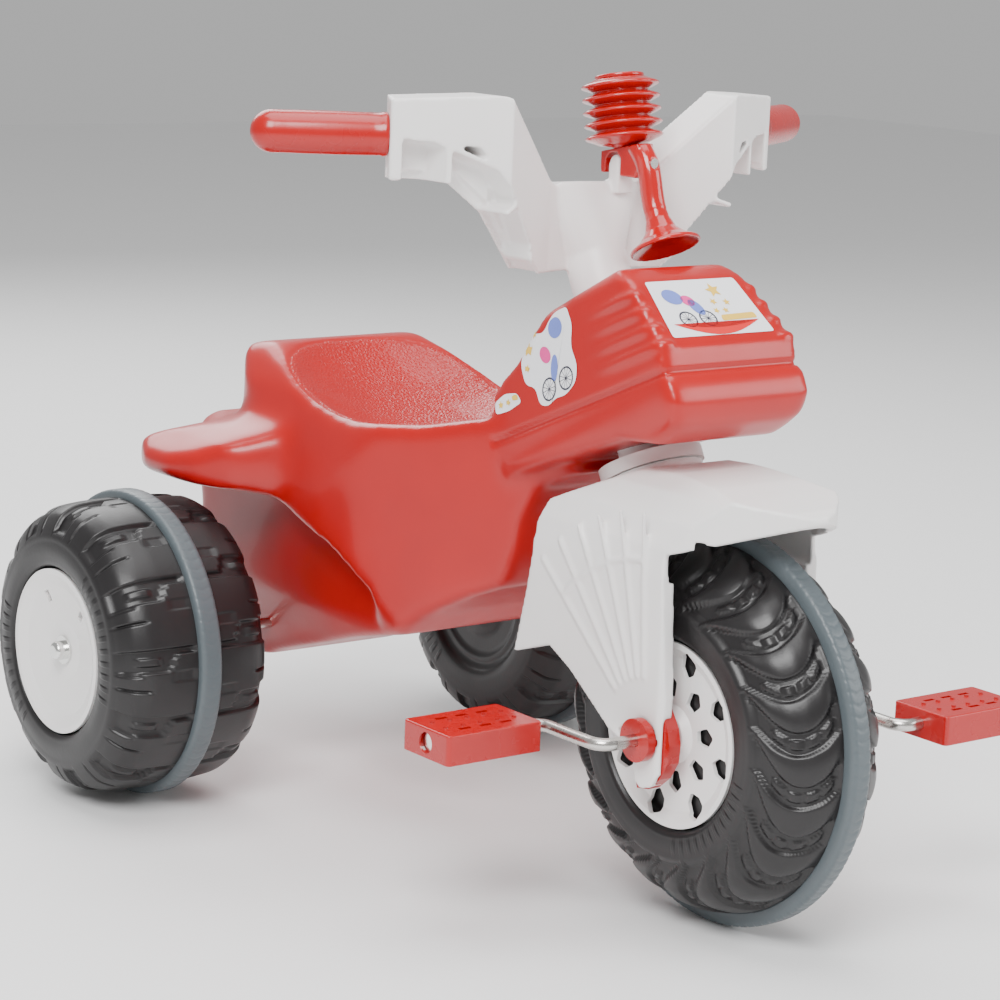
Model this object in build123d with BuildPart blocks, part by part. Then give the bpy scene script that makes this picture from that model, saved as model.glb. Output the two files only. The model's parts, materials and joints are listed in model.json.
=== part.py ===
from build123d import *

import os
from math import cos, radians, sin

# Children's pedal tricycle. Millimetres, +Z up, rider facing -Y, rider's left +X.
# The origin is on the ground, midway between the foremost and rearmost points of the wheels.
# A hollow blow-moulded body carries two free rear wheels on a fixed steel axle. A white fork turns in
# the body's raked head tube and carries the front wheel, which a bent steel crank drives directly.

os.makedirs("parts", exist_ok=True)

# ---- driving dimensions -------------------------------------------------------------------------
LENGTH = 699.0
FRONT_RADIUS = 135.0
REAR_RADIUS = 114.5
FRONT_AXLE_Y = FRONT_RADIUS - LENGTH / 2
REAR_AXLE_Y = LENGTH / 2 - REAR_RADIUS
RAKE = 27.8
WALL = 3.0
FIT = 0.05
GAP = 0.3

REAR_TRACK = 188.5
AXLE_R = 4.0
REAR_HUB_FACE = 246.5

CRANK_R = 4.25
CRANK_BEND_X = 104.0
CRANK_THROW = 63.0
CRANK_CORNER_R = 11.0
PEDAL_X = 160.0
PEDAL_SIZE = (76.0, 50.0, 20.0)

HEAD_BORE_R = 20.0
STEERER_R = 15.0
BOLT_R = 4.0
COLLAR_LOW = 178.0
COLLAR_TOP = 187.0
TANK_TOP = 300.0
POST_TOP = 380.0

LEG_OUTER = 68.0
LEG_INNER = 58.0
GUARD_WALL = 3.5

HANDLE_DEPTH = 30.0
GRIP_R = 14.5
GRIP_SWEEP = 30.0
GRIP_END = (225.0, 4.8, 513.7)
GRIP_LENGTH = 76.0
HANDLE_CORE_R = 10.5

HORN_X = 18.0
HORN_TILT = 12.0
BELLOWS_TURNS = 5
BELLOWS_PITCH = 8.8
BELLOWS_OUTER_R = 27.0
BELLOWS_INNER_R = 19.0

# ---- reference planes and axes ------------------------------------------------------------------
STEER_DIR = Vector(0, sin(radians(RAKE)), cos(radians(RAKE)))
FRONT_AXLE = Vector(0, FRONT_AXLE_Y, FRONT_RADIUS)
REAR_AXLE = Vector(0, REAR_AXLE_Y, REAR_RADIUS)

steer_plane = Plane(origin=FRONT_AXLE, x_dir=(1, 0, 0), z_dir=STEER_DIR)
steer_side = Plane(origin=FRONT_AXLE, x_dir=steer_plane.y_dir, z_dir=(1, 0, 0))
steer_face = Plane(origin=FRONT_AXLE, x_dir=(1, 0, 0), z_dir=-steer_plane.y_dir)
front_wheel_plane = Plane(origin=FRONT_AXLE, x_dir=(1, 0, 0), z_dir=(0, -1, 0))
front_side = Plane(origin=FRONT_AXLE, x_dir=(0, 1, 0), z_dir=(1, 0, 0))


def write(piece, label):
    """Label a finished piece and write it as its own STEP file."""
    piece.part.label = label
    export_step(piece.part, f"parts/{label}.step")


def write_pair(piece, label):
    """Write the rider's right-hand piece and its mirror image on the left."""
    write(piece, f"{label}_right")
    with BuildPart() as left:
        mirror(piece.part, about=Plane.YZ)
    write(left, f"{label}_left")


def prism(plane, points, reach, inset=0.0):
    """A closed outline on a plane, pulled in by inset, extruded the same distance both ways."""
    with BuildPart() as block:
        with BuildSketch(plane):
            with BuildLine():
                Polyline(*points, close=True)
            make_face()
            if inset:
                offset(amount=-inset, kind=Kind.INTERSECTION, mode=Mode.REPLACE)
        extrude(amount=reach, both=True)
    return block.part


def mirrored_outline(right_half):
    """Both halves of an outline that is symmetric about its second axis."""
    return right_half + [(-a, b) for a, b in reversed(right_half) if a != 0]


# ---- body shell ---------------------------------------------------------------------------------
TANK_SIDE = [
    (84, 205), (86, 262), (80, 284), (64, 297), (46, TANK_TOP), (-72, TANK_TOP), (-85, 285), (-108, 231),
    (-104, 216), (-108, 208), (-108, 195), (-98, 181), (-72, 176), (-44, COLLAR_TOP + 3),
]
TANK_FACE = [(50, 174), (60, 188), (62, 205), (59, 216), (60, 224), (50, 294), (45, TANK_TOP)]

HULL_SIDE = [
    (-98, 288), (-60, 322), (-13, 314), (33, 303), (100, 296), (160, 304), (205, 322), (243, 333),
    (266, 330), (281, 312), (292, 282), (310, 270), (324, 252), (328, 228), (320, 170), (304, 112),
    (288, 92), (250, 84), (232, 92), (123, 127), (82, 138), (46, 147), (20, 168),
    (-8, 184), (-40, 198), (-50, 223), (-53, 246), (-66, 274),
]
HULL_PLAN = [
    (38, -98), (50, -62), (64, -20), (82, 32), (98, 85), (105, 128), (106, 180), (102, 240), (96, 290),
    (82, 326),
]
SEAT_PLAN = [(105, 30), (106, 180), (98, 218), (86, 250), (68, 278), (44, 298), (0, 306)]
SHELF_Z = 271.0
HULL_FACE = [
    (64, 80), (68, 118), (78, 143), (97, 180), (104, 205), (104, 240), (97, 280), (89, 306), (79, 322),
    (60, 346),
]

ARCH_FACE_X = 80.0
ARCH_SIDE = [
    (68, 175), (87, 188), (111, 203), (152, 216), (184, 228), (218, 238), (340, 240), (340, 50), (68, 50),
]
WING_PLAN = [
    (60, 160), (108, 168), (134, 186), (153, 212), (163, 240), (163, 268), (150, 294), (122, 314),
    (60, 322),
]
WING_SIDE = [(150, 286), (215, 281), (262, 272), (296, 257), (318, 238), (318, 224), (150, 224)]
WING_FACE = [(100, 228), (150, 233), (166, 240), (162, 252), (136, 268), (100, 280), (70, 286)]

SEAT_RADIUS = 195.0
SEAT_CENTRE = (0, 108, 473)


def plan_block(half_outline, inset):
    """A plan outline given as (x, y) pairs, pulled up through the body's whole height."""
    return prism(Plane.XY.offset(LENGTH / 4), mirrored_outline(half_outline), LENGTH / 2, inset)


def body_form(inset):
    """The body's outer form, or its hollow when every face is pulled in by the wall thickness."""
    tank = prism(steer_side, TANK_SIDE, LENGTH, inset) & prism(
        steer_face, mirrored_outline(TANK_FACE), LENGTH, inset
    )
    hull = (
        prism(Plane.YZ, HULL_SIDE, LENGTH, inset)
        & plan_block(HULL_PLAN, inset)
        & prism(Plane.XZ, mirrored_outline(HULL_FACE), LENGTH, inset)
    )
    with BuildPart() as behind_seat:
        with BuildSketch(Plane.XY.offset(SHELF_Z - inset)):
            with Locations((0, LENGTH / 2 + SEAT_PLAN[0][1])):
                Rectangle(LENGTH, LENGTH)
        extrude(amount=LENGTH)
        add(plan_block(SEAT_PLAN, inset), mode=Mode.SUBTRACT)
    wing = (
        prism(Plane.YZ, WING_SIDE, LENGTH, inset)
        & plan_block(WING_PLAN, inset)
        & prism(Plane.XZ, mirrored_outline(WING_FACE), LENGTH, inset)
    )
    with BuildPart() as arches:
        for side in (-1, 1):
            with BuildSketch(Plane.YZ.offset(side * (ARCH_FACE_X - inset))):
                with BuildLine():
                    Polyline(*ARCH_SIDE, close=True)
                make_face()
                if inset:
                    offset(amount=inset, kind=Kind.INTERSECTION, mode=Mode.REPLACE)
            extrude(amount=side * REAR_TRACK)
    with BuildPart() as form:
        add(hull)
        add(behind_seat.part, mode=Mode.SUBTRACT)
        add(arches.part, mode=Mode.SUBTRACT)
        add(wing)
        add(tank)
        with Locations(SEAT_CENTRE):
            Sphere(SEAT_RADIUS + inset, mode=Mode.SUBTRACT)
    return form.part


def steer_cylinder(radius, low, high):
    """A plain cylinder on the steering axis between two heights above the front axle."""
    with BuildPart() as bar:
        with BuildSketch(steer_plane.offset(low)):
            Circle(radius)
        extrude(amount=high - low)
    return bar.part


def cross_bar(centre, radius, half_length):
    """A plain cylinder along X, centred on a point."""
    with BuildPart() as bar:
        with BuildSketch(Plane(origin=centre, x_dir=(0, 1, 0), z_dir=(1, 0, 0))):
            Circle(radius)
        extrude(amount=half_length, both=True)
    return bar.part


HEAD_TUNNEL_R = HEAD_BORE_R + 5
AXLE_TUNNEL_R = AXLE_R + 6
HOLLOW_LOW = COLLAR_TOP + WALL

with BuildPart() as hollow:
    add(body_form(WALL))
    add(steer_cylinder(HEAD_TUNNEL_R, 0, LENGTH), mode=Mode.SUBTRACT)
    add(cross_bar(REAR_AXLE, AXLE_TUNNEL_R, LENGTH), mode=Mode.SUBTRACT)
    with BuildSketch(steer_plane.offset(HOLLOW_LOW)):
        Circle(2 * HEAD_TUNNEL_R)
    extrude(amount=-LENGTH / 4, mode=Mode.SUBTRACT)

with BuildPart() as body_shell:
    add(body_form(0.0))
    with BuildSketch(steer_plane.offset(COLLAR_TOP)):
        Circle(2 * HEAD_TUNNEL_R)
    extrude(amount=-LENGTH / 16, mode=Mode.SUBTRACT)
    add(hollow.part, mode=Mode.SUBTRACT)
    add(steer_cylinder(HEAD_BORE_R, 0, LENGTH), mode=Mode.SUBTRACT)
    add(cross_bar(REAR_AXLE, AXLE_R, LENGTH), mode=Mode.SUBTRACT)
write(body_shell, "body_shell")

# ---- head bushes --------------------------------------------------------------------------------
COLLAR_R = 36.0
BUSH_SLEEVE = 28.0
BUSH_BORE_R = STEERER_R + FIT
UPPER_FLANGE_R = 24.0
UPPER_FLANGE = 2.0

with BuildPart() as lower_bush:
    add(steer_cylinder(COLLAR_R, COLLAR_LOW, COLLAR_TOP))
    add(steer_cylinder(HEAD_BORE_R, COLLAR_TOP, COLLAR_TOP + BUSH_SLEEVE))
    add(steer_cylinder(BUSH_BORE_R, 0, LENGTH), mode=Mode.SUBTRACT)
write(lower_bush, "lower_bush")

with BuildPart() as upper_bush:
    add(steer_cylinder(UPPER_FLANGE_R, TANK_TOP, TANK_TOP + UPPER_FLANGE))
    add(steer_cylinder(HEAD_BORE_R, TANK_TOP - BUSH_SLEEVE, TANK_TOP))
    add(steer_cylinder(BUSH_BORE_R, 0, LENGTH), mode=Mode.SUBTRACT)
write(upper_bush, "upper_bush")

# ---- fork with mudguard -------------------------------------------------------------------------
GUARD_SIDE = [
    (-297, 286), (-296, 291), (-288, 294), (-262, 299), (-236, 303), (-199, 306), (-164, 303), (-98, 273),
    (-91, 256), (-89, 235), (-84, 208), (-73, 162), (-111, 175), (-135, 163), (-177, 133.5),
    (-194, 127), (-204, 118), (-207, 105), (-213, 101), (-223, 104), (-230, 114), (-231, 165),
    (-224, 259), (-236, 263), (-257, 270.5), (-277, 278), (-290, 283),
]
GUARD_PLAN = [
    (6, -297), (20, -290), (37, -274), (52, -254), (62, -239), (LEG_OUTER, -226), (LEG_OUTER, -70),
]
GUARD_FACE = [
    (LEG_OUTER, 80), (LEG_OUTER, 243), (66, 262), (60, 280), (48, 296), (36, 305), (0, 314),
]
GUARD_ROOF = [
    (-400, 280), (-298, 283), (-288, 288.5), (-262, 294), (-236, 298), (-199, 301.5),
    (-166, 298.5), (-101.5, 268.5), (-94.5, 256), (-92.5, 235), (-87.5, 208), (-77, 162), (-77, 20),
    (-400, 20),
]
WHEEL_ROOM_R = 139.5
CROWN_LOW = 160.0
STEERER_TOP = 352.0
RIB_WIDTH = 2.6
RIB_HEIGHT = 1.6
RIB_ANGLES = (86, 77, 68, 59, 50, 41)
RIB_START = 40.0
RIB_END = 150.0
ARC_RIB_R = 118.0
BRACKET_HUB_R = 12.0
BRACKET_SLOT_ANGLE = -25.0
PLATE_OUTER = 64.2
PLATE_OUTLINE = [
    (-9.5, 24), (-19, 10), (-21.7, -1), (-20.7, -13), (-13.5, -25), (-3, -34), (8.5, -36), (13.5, -20), (14, 0),
    (10, 24),
]


def guard_block(side, plan, face, reach):
    """The mudguard's form: the common part of its side, plan and front outlines."""
    return (
        prism(Plane.YZ, side, reach)
        & prism(Plane.XY.offset(LENGTH / 4), mirrored_outline(plan), LENGTH / 2)
        & prism(Plane.XZ, mirrored_outline(face), LENGTH)
    )


def leg_ribs():
    """A fan of raised ribs spreading from the axle, and one arc across them, outside both legs."""
    with BuildPart() as ribs:
        with BuildSketch(front_side):
            for angle in RIB_ANGLES:
                with Locations(Location((0, 0), angle)):
                    with Locations(((RIB_START + RIB_END) / 2, 0)):
                        Rectangle(RIB_END - RIB_START, RIB_WIDTH)
            with BuildLine():
                CenterArc((0, 0), ARC_RIB_R, RIB_ANGLES[-1], RIB_ANGLES[0] - RIB_ANGLES[-1])
                offset(amount=RIB_WIDTH / 2, side=Side.BOTH)
            make_face()
        extrude(amount=LEG_OUTER + RIB_HEIGHT, both=True)
        with BuildSketch(front_side):
            Circle(LENGTH / 2)
        extrude(amount=LEG_OUTER - 1, both=True, mode=Mode.SUBTRACT)
    return ribs.part


guard = guard_block(GUARD_SIDE, GUARD_PLAN, GUARD_FACE, LEG_OUTER)
inner_plan = [(a - GUARD_WALL, b + (2 * GUARD_WALL if b < -190 else -GUARD_WALL)) for a, b in GUARD_PLAN]
inner_face = [(a - GUARD_WALL if a else 0, b - GUARD_WALL) for a, b in GUARD_FACE]
inner_face[0] = (LEG_OUTER - GUARD_WALL, 0)
under_roof = guard_block(GUARD_ROOF, inner_plan, inner_face, LEG_OUTER - GUARD_WALL)
rib_skin = leg_ribs() & prism(Plane.YZ, GUARD_SIDE, LEG_OUTER + RIB_HEIGHT, 4.0)

with BuildPart() as leg_core:
    with BuildSketch(Plane.YZ.offset(LEG_INNER)):
        with BuildLine():
            Polyline(*GUARD_SIDE, close=True)
        make_face()
        with Locations((-150, 300)):
            Rectangle(LENGTH / 2, 120, mode=Mode.SUBTRACT)
        with Locations((-68, 180)):
            Rectangle(70, LENGTH / 2, mode=Mode.SUBTRACT)
    extrude(amount=LEG_OUTER - LEG_INNER)
    mirror(about=Plane.YZ)
    add(prism(Plane.XY.offset(LENGTH / 4), mirrored_outline(GUARD_PLAN), LENGTH / 2), mode=Mode.INTERSECT)

with BuildPart() as fork:
    add(guard)
    add(under_roof, mode=Mode.SUBTRACT)
    add(cross_bar(FRONT_AXLE, WHEEL_ROOM_R, LEG_INNER), mode=Mode.SUBTRACT)
    add(leg_core.part)
    add(rib_skin)
    add(steer_cylinder(COLLAR_R - 2, CROWN_LOW, COLLAR_LOW - GAP))
    add(steer_cylinder(STEERER_R, CROWN_LOW, STEERER_TOP))
    add(steer_cylinder(BOLT_R + FIT, 0, LENGTH), mode=Mode.SUBTRACT)
    with BuildSketch(front_side):
        Circle(BRACKET_HUB_R)
        with Locations(Location((0, 0), BRACKET_SLOT_ANGLE)):
            with Locations((BRACKET_HUB_R, 0)):
                Rectangle(2 * BRACKET_HUB_R, 2 * BRACKET_HUB_R)
    extrude(amount=LEG_OUTER + WALL, both=True, mode=Mode.SUBTRACT)
    with BuildSketch(front_side):
        with BuildLine():
            Polyline(*PLATE_OUTLINE, close=True)
        make_face()
        offset(amount=GAP, kind=Kind.INTERSECTION, mode=Mode.REPLACE)
    extrude(amount=PLATE_OUTER + GAP, both=True, mode=Mode.SUBTRACT)
write(fork, "fork")

# ---- axle brackets in the fork's tips -----------------------------------------------------------
FLANGE_R = 14.5
FLANGE_OUT = 76.0
CRANK_BORE_R = CRANK_R + FIT
PLATE_INNER = 54.5

with BuildPart() as axle_bracket:
    with BuildSketch(front_side.offset(-PLATE_OUTER)):
        with BuildLine():
            Polyline(*PLATE_OUTLINE, close=True)
        make_face()
    extrude(amount=PLATE_OUTER - PLATE_INNER)
    with BuildSketch(front_side.offset(-PLATE_OUTER)):
        Circle(BRACKET_HUB_R - GAP)
    extrude(amount=PLATE_OUTER - FLANGE_OUT)
    with BuildSketch(front_side.offset(-FLANGE_OUT)):
        Circle(FLANGE_R)
    extrude(amount=FLANGE_OUT - LEG_OUTER - RIB_HEIGHT - GAP)
    with BuildSketch(front_side):
        Circle(CRANK_BORE_R)
    extrude(amount=-LENGTH / 4, mode=Mode.SUBTRACT)
write_pair(axle_bracket, "axle_bracket")

# ---- front wheel --------------------------------------------------------------------------------
FRONT_TYRE = [
    (0, 125.5), (17, 124), (29, 118), (39, 109), (46, 98), (49, 88), (50, 76), (48.5, 66.5),
    (44, 63.2), (38, 63), (38, CRANK_R + FIT),
]
FRONT_BAND_HALF = 8.0
FRONT_SEAT_R = 125.0
FRONT_DISC_R = 62.7
TYRE_WALL = 3.0


def wheel_ring(plane, half_outline):
    """A hollow blow-moulded wheel: a symmetric half outline turned about the axle, walls all round."""
    with BuildPart() as ring:
        with BuildSketch(plane):
            with BuildLine():
                Polyline(*mirrored_outline(half_outline), close=True)
            make_face()
            offset(amount=-TYRE_WALL, kind=Kind.INTERSECTION, mode=Mode.SUBTRACT)
        revolve(axis=Axis(plane.origin, (1, 0, 0)))
    return ring.part


def tread_band(plane, half_width, seat_r, outer_r):
    """The grey grip band with softened outer edges, seated round the middle of a tyre."""
    edge = 2.0
    with BuildPart() as band:
        with BuildSketch(plane):
            with BuildLine():
                Polyline(
                    (-half_width, seat_r), (-half_width, outer_r - edge), (edge - half_width, outer_r),
                    (half_width - edge, outer_r), (half_width, outer_r - edge), (half_width, seat_r),
                    close=True,
                )
            make_face()
        revolve(axis=Axis(plane.origin, (1, 0, 0)))
    return band.part


with BuildPart() as front_band:
    add(tread_band(front_wheel_plane, FRONT_BAND_HALF, FRONT_SEAT_R, FRONT_RADIUS))
write(front_band, "front_band")

with BuildPart() as front_tyre:
    add(wheel_ring(front_wheel_plane, FRONT_TYRE))
    add(tread_band(front_wheel_plane, FRONT_BAND_HALF, FRONT_SEAT_R, FRONT_RADIUS), mode=Mode.SUBTRACT)
write(front_tyre, "front_tyre")

DISC_PROFILE = [
    (38, 8), (48, 8), (48, 15), (43, 20), (42.5, 52), (46.5, 59), (46.5, FRONT_DISC_R),
    (44, FRONT_DISC_R), (44, 60.5), (39.8, 53.5), (39.8, 22), (40.5, 19), (38, 17),
]
HOLE_COUNT = 8
OUTER_HOLE = [(0, 10), (7.2, 5), (6.2, -4), (0, -9.5), (-6.2, -4), (-7.2, 5)]
INNER_HOLE = [(0, 8.5), (6.4, 3), (4, -7), (-4, -7), (-6.4, 3)]
OUTER_HOLE_R = 50.0
INNER_HOLE_R = 31.5
HOLE_CORNER_R = 2.2
HOLE_PHASE = 14.0

with BuildPart() as front_disc:
    with BuildSketch(front_wheel_plane):
        with BuildLine():
            Polyline(*[(-a, b) for a, b in DISC_PROFILE], close=True)
        make_face()
    revolve(axis=Axis(FRONT_AXLE, (1, 0, 0)))
    for radius, outline, phase in (
        (OUTER_HOLE_R, OUTER_HOLE, HOLE_PHASE),
        (INNER_HOLE_R, INNER_HOLE, HOLE_PHASE + 180 / HOLE_COUNT),
    ):
        with BuildSketch(front_side):
            with PolarLocations(radius, HOLE_COUNT, start_angle=phase):
                with BuildLine(mode=Mode.PRIVATE) as edge:
                    Polyline(*[(b, a) for a, b in outline], close=True)
                add(make_face(edge.edges(), mode=Mode.PRIVATE))
            fillet(vertices(), HOLE_CORNER_R)
        extrude(amount=-LENGTH / 4, mode=Mode.SUBTRACT)
write_pair(front_disc, "front_disc")

# ---- crank and pedals ---------------------------------------------------------------------------
PIN_END_X = 194.0
DRIVE_PIN_R = 2.5
DRIVE_PIN_REACH = 3.0
rear_y = FRONT_AXLE_Y + CRANK_THROW
fore_y = FRONT_AXLE_Y - CRANK_THROW

with BuildPart() as crank:
    with BuildLine() as crank_path:
        FilletPolyline(
            (-PIN_END_X, rear_y, FRONT_RADIUS),
            (-CRANK_BEND_X, rear_y, FRONT_RADIUS),
            (-CRANK_BEND_X, FRONT_AXLE_Y, FRONT_RADIUS),
            (CRANK_BEND_X, FRONT_AXLE_Y, FRONT_RADIUS),
            (CRANK_BEND_X, fore_y, FRONT_RADIUS),
            (PIN_END_X, fore_y, FRONT_RADIUS),
            radius=CRANK_CORNER_R,
        )
    with BuildSketch(Plane(origin=crank_path.line @ 0, z_dir=crank_path.line % 0)):
        Circle(CRANK_R)
    sweep(path=crank_path.line)
    with BuildSketch(Plane.XY.offset(FRONT_RADIUS)):
        with Locations((0, FRONT_AXLE_Y)):
            Circle(DRIVE_PIN_R)
    extrude(amount=2 * CRANK_R, both=True, mode=Mode.SUBTRACT)
write(crank, "crank")

with BuildPart() as drive_pin:
    with BuildSketch(Plane.XY.offset(FRONT_RADIUS)):
        with Locations((0, FRONT_AXLE_Y)):
            Circle(DRIVE_PIN_R)
    extrude(amount=DRIVE_PIN_REACH, both=True)
write(drive_pin, "drive_pin")

PEDAL_BORE_R = CRANK_R + FIT
PEDAL_SKIN = 2.6
PEDAL_STUDS = 3
NUT_POCKET = 9.0
NUT_ROOM_R = 7.0
NUT_R = 6.6


def pedal(side, centre_y):
    """A box pedal open underneath, with cross ribs bored for the crank end, studs and slots on top."""
    width, depth, height = PEDAL_SIZE
    centre = Vector(side * PEDAL_X, centre_y, FRONT_RADIUS)
    with BuildPart() as block:
        with BuildSketch(Plane(origin=centre - (0, 0, height / 2))):
            Rectangle(width, depth)
        extrude(amount=height)
        fillet(block.edges().filter_by(Axis.Z), 3)
        fillet(block.faces().sort_by(Axis.Z)[-1].edges(), 1.2)
        with BuildSketch(Plane(origin=centre - (0, 0, height / 2))):
            with GridLocations(width / 4, depth / 2, 4, 2):
                Rectangle(width / 4 - PEDAL_SKIN, depth / 2 - PEDAL_SKIN - CRANK_R)
        extrude(amount=height - PEDAL_SKIN, mode=Mode.SUBTRACT)
        with BuildSketch(Plane(origin=centre + (0, 0, height / 2))):
            with GridLocations(width / 4.6, depth / 1.9, PEDAL_STUDS, 2):
                Rectangle(9, 3.2)
        extrude(amount=-height / 2, mode=Mode.SUBTRACT)
        with BuildSketch(Plane(origin=centre + (0, 0, height / 2))):
            with GridLocations(width / 5.5, depth / 3.4, 5, 2):
                Circle(1.7)
        extrude(amount=1.2, taper=12)
    with BuildPart() as whole:
        add(block.part)
        add(cross_bar(centre, PEDAL_BORE_R, width / 2 - NUT_POCKET), mode=Mode.SUBTRACT)
        add(cross_bar(centre - (side * width / 2, 0, 0), PEDAL_BORE_R, width / 4), mode=Mode.SUBTRACT)
        add(cross_bar(centre + (side * (width / 2 - NUT_POCKET / 2), 0, 0), NUT_ROOM_R, NUT_POCKET),
            mode=Mode.SUBTRACT)
    return whole


for side, hand, centre_y in ((-1, "right", rear_y), (1, "left", fore_y)):
    write(pedal(side, centre_y), f"pedal_{hand}")
    end = Vector(side * PIN_END_X, centre_y, FRONT_RADIUS)
    with BuildPart() as pedal_nut:
        add(cross_bar(end - (side * 1.2, 0, 0), NUT_R, 2.2))
        add(cross_bar(end - (side * 2.2, 0, 0), CRANK_R, 2.2), mode=Mode.SUBTRACT)
    write(pedal_nut, f"pedal_nut_{hand}")

# ---- rear axle and wheels -----------------------------------------------------------------------
REAR_TYRE = [
    (-9, 108.5), (-9, 107.5), (9, 107.5), (9, 108.5), (30, 108), (46, 106.5), (57, 101), (64, 91),
    (66.5, 83), (68, 73), (66.5, 63.5), (60, 61.5), (55, 61), (55, AXLE_R + FIT), (-60, AXLE_R + FIT),
    (-60, 15), (-54, 28), (-54, 58), (-60, 66), (-60, 82), (-58, 91), (-52, 101), (-43, 106.5), (-28, 108),
]
REAR_BAND_HALF = 9.0
REAR_SEAT_R = 107.5
REAR_DISC = [
    (55.3, 4.4), (58, 4.4), (57.6, 22), (62, 48), (66, 57), (66, 61), (63, 61), (60.3, 58.5), (56, 45),
]
REAR_HOLES = ((42, 132), (42, 62))
WASHER_R = 10.5
WASHER_THICK = 1.5
CAP_R = 7.0
CAP_LENGTH = 8.0
AXLE_END = 252.0

with BuildPart() as rear_axle:
    add(cross_bar(REAR_AXLE, AXLE_R, AXLE_END))
write(rear_axle, "rear_axle")

right_wheel = Plane(origin=REAR_AXLE - (REAR_TRACK, 0, 0), x_dir=(-1, 0, 0), z_dir=(0, 1, 0))
hub_axis = Axis(REAR_AXLE, (1, 0, 0))

with BuildPart() as rear_tyre:
    with BuildSketch(right_wheel):
        with BuildLine():
            Polyline(*REAR_TYRE, close=True)
        make_face()
        offset(amount=-TYRE_WALL, kind=Kind.INTERSECTION, mode=Mode.SUBTRACT)
    revolve(axis=hub_axis)
write_pair(rear_tyre, "rear_tyre")

with BuildPart() as rear_band:
    add(tread_band(right_wheel, REAR_BAND_HALF, REAR_SEAT_R, REAR_RADIUS))
write_pair(rear_band, "rear_band")

with BuildPart() as rear_disc:
    with BuildSketch(right_wheel):
        with BuildLine():
            Polyline(*REAR_DISC, close=True)
        make_face()
    revolve(axis=hub_axis)
    with BuildSketch(Plane(origin=REAR_AXLE, x_dir=(0, 1, 0), z_dir=(1, 0, 0))):
        for radius, angle in REAR_HOLES:
            with Locations(Location((radius * cos(radians(angle)), radius * sin(radians(angle))), angle)):
                RectangleRounded(9, 6, 1.2)
    extrude(amount=-LENGTH / 2, mode=Mode.SUBTRACT)
write_pair(rear_disc, "rear_disc")

washer_face = REAR_HUB_FACE + GAP
with BuildPart() as rear_washer:
    add(cross_bar(REAR_AXLE - (washer_face + WASHER_THICK / 2, 0, 0), WASHER_R, WASHER_THICK / 2))
    add(cross_bar(REAR_AXLE, AXLE_R, LENGTH / 2), mode=Mode.SUBTRACT)
write_pair(rear_washer, "rear_washer")

with BuildPart() as axle_cap:
    with BuildSketch(Plane(origin=REAR_AXLE - (washer_face + WASHER_THICK, 0, 0), z_dir=(-1, 0, 0))):
        Circle(CAP_R)
    extrude(amount=CAP_LENGTH)
    fillet(axle_cap.faces().sort_by(Axis.X)[0].edges(), CAP_R / 2)
    add(cross_bar(REAR_AXLE, AXLE_R, AXLE_END), mode=Mode.SUBTRACT)
write_pair(axle_cap, "axle_cap")

# ---- handlebar ----------------------------------------------------------------------------------
sweep_dir = Vector(cos(radians(GRIP_SWEEP)), sin(radians(GRIP_SWEEP)), 0)
grip_tip = Vector(*GRIP_END)
grip_root = grip_tip - sweep_dir * GRIP_LENGTH
bend_y = grip_tip.Y - sweep_dir.Y * (grip_tip.X - 97.0) / sweep_dir.X
BAR_FACE = [
    (0, 421), (54, 421), (118, 483), (166, 485), (166, 538), (104, 542), (97, 541), (42, 484), (34, 478),
    (0, 478),
]
BAR_POCKET = [(42, 413), (56, 429), (116, 490), (160, 490), (160, 475), (118, 465), (64, 405)]
FLANGE_CUT = [(60, 400), (60, 432), (114, 508), (159, 512), (159, 470), (118, 455)]
BAND_EDGE = [(16, -36), (42, -42), (97, bend_y), (grip_root.X, grip_root.Y), (190, grip_root.Y + 16)]
BAR_WALL = 3.2
CUP_LOW = 334.0
POST_LOW = TANK_TOP + UPPER_FLANGE + GAP
POST_R = 21.5
SOCKET_TOP = STEERER_TOP + GAP
CUP_FLOOR = 358.0


HORN_TAB = [(-55, 474), (-55, 494), (-58, 499), (-63, 500.5), (-66, 497), (-66, 474)]
TAB_WIDTH = 14.0
SCREW_Z = 497.0
SCREW_R = 1.6
SCREW_HEAD_R = 3.4
SCREW_HEAD = 1.8
SCREW_FACE_Y = -94.0
SCREW_LENGTH = 34.0
horn_plane = Plane.YZ.offset(HORN_X)


def horn_bolt(radius, length):
    """A plain cylinder along the horn screw, from its head's seat back towards the stem."""
    with BuildPart() as bar:
        with BuildSketch(Plane(origin=(HORN_X, SCREW_FACE_Y, SCREW_Z), z_dir=(0, 1, 0))):
            Circle(radius)
        extrude(amount=length)
    return bar.part


def bar_band(depth):
    """The handlebar's plan: a band of the given depth along its swept centre line, both sides."""
    shift = depth / 2 / cos(radians(GRIP_SWEEP))
    centre_line = [(-a, b) for a, b in reversed(BAND_EDGE)] + BAND_EDGE
    front = [(a, b - shift) for a, b in centre_line]
    back = [(a, b + shift) for a, b in reversed(centre_line)]
    return prism(Plane.XY.offset(480), front + back, 80)


def arm_ribs():
    """Diagonal stiffening ribs that cross the open channel under each arm."""
    with BuildPart() as ribs:
        for x, z, angle in ((132, 500, 90), (104, 495, 25), (88, 469, -20), (66, 447, 80)):
            with BuildSketch(Plane.XZ):
                with Locations(Location((x, z), angle)):
                    Rectangle(90, BAR_WALL)
            extrude(amount=LENGTH, both=True)
        mirror(about=Plane.YZ)
    return ribs.part


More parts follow.
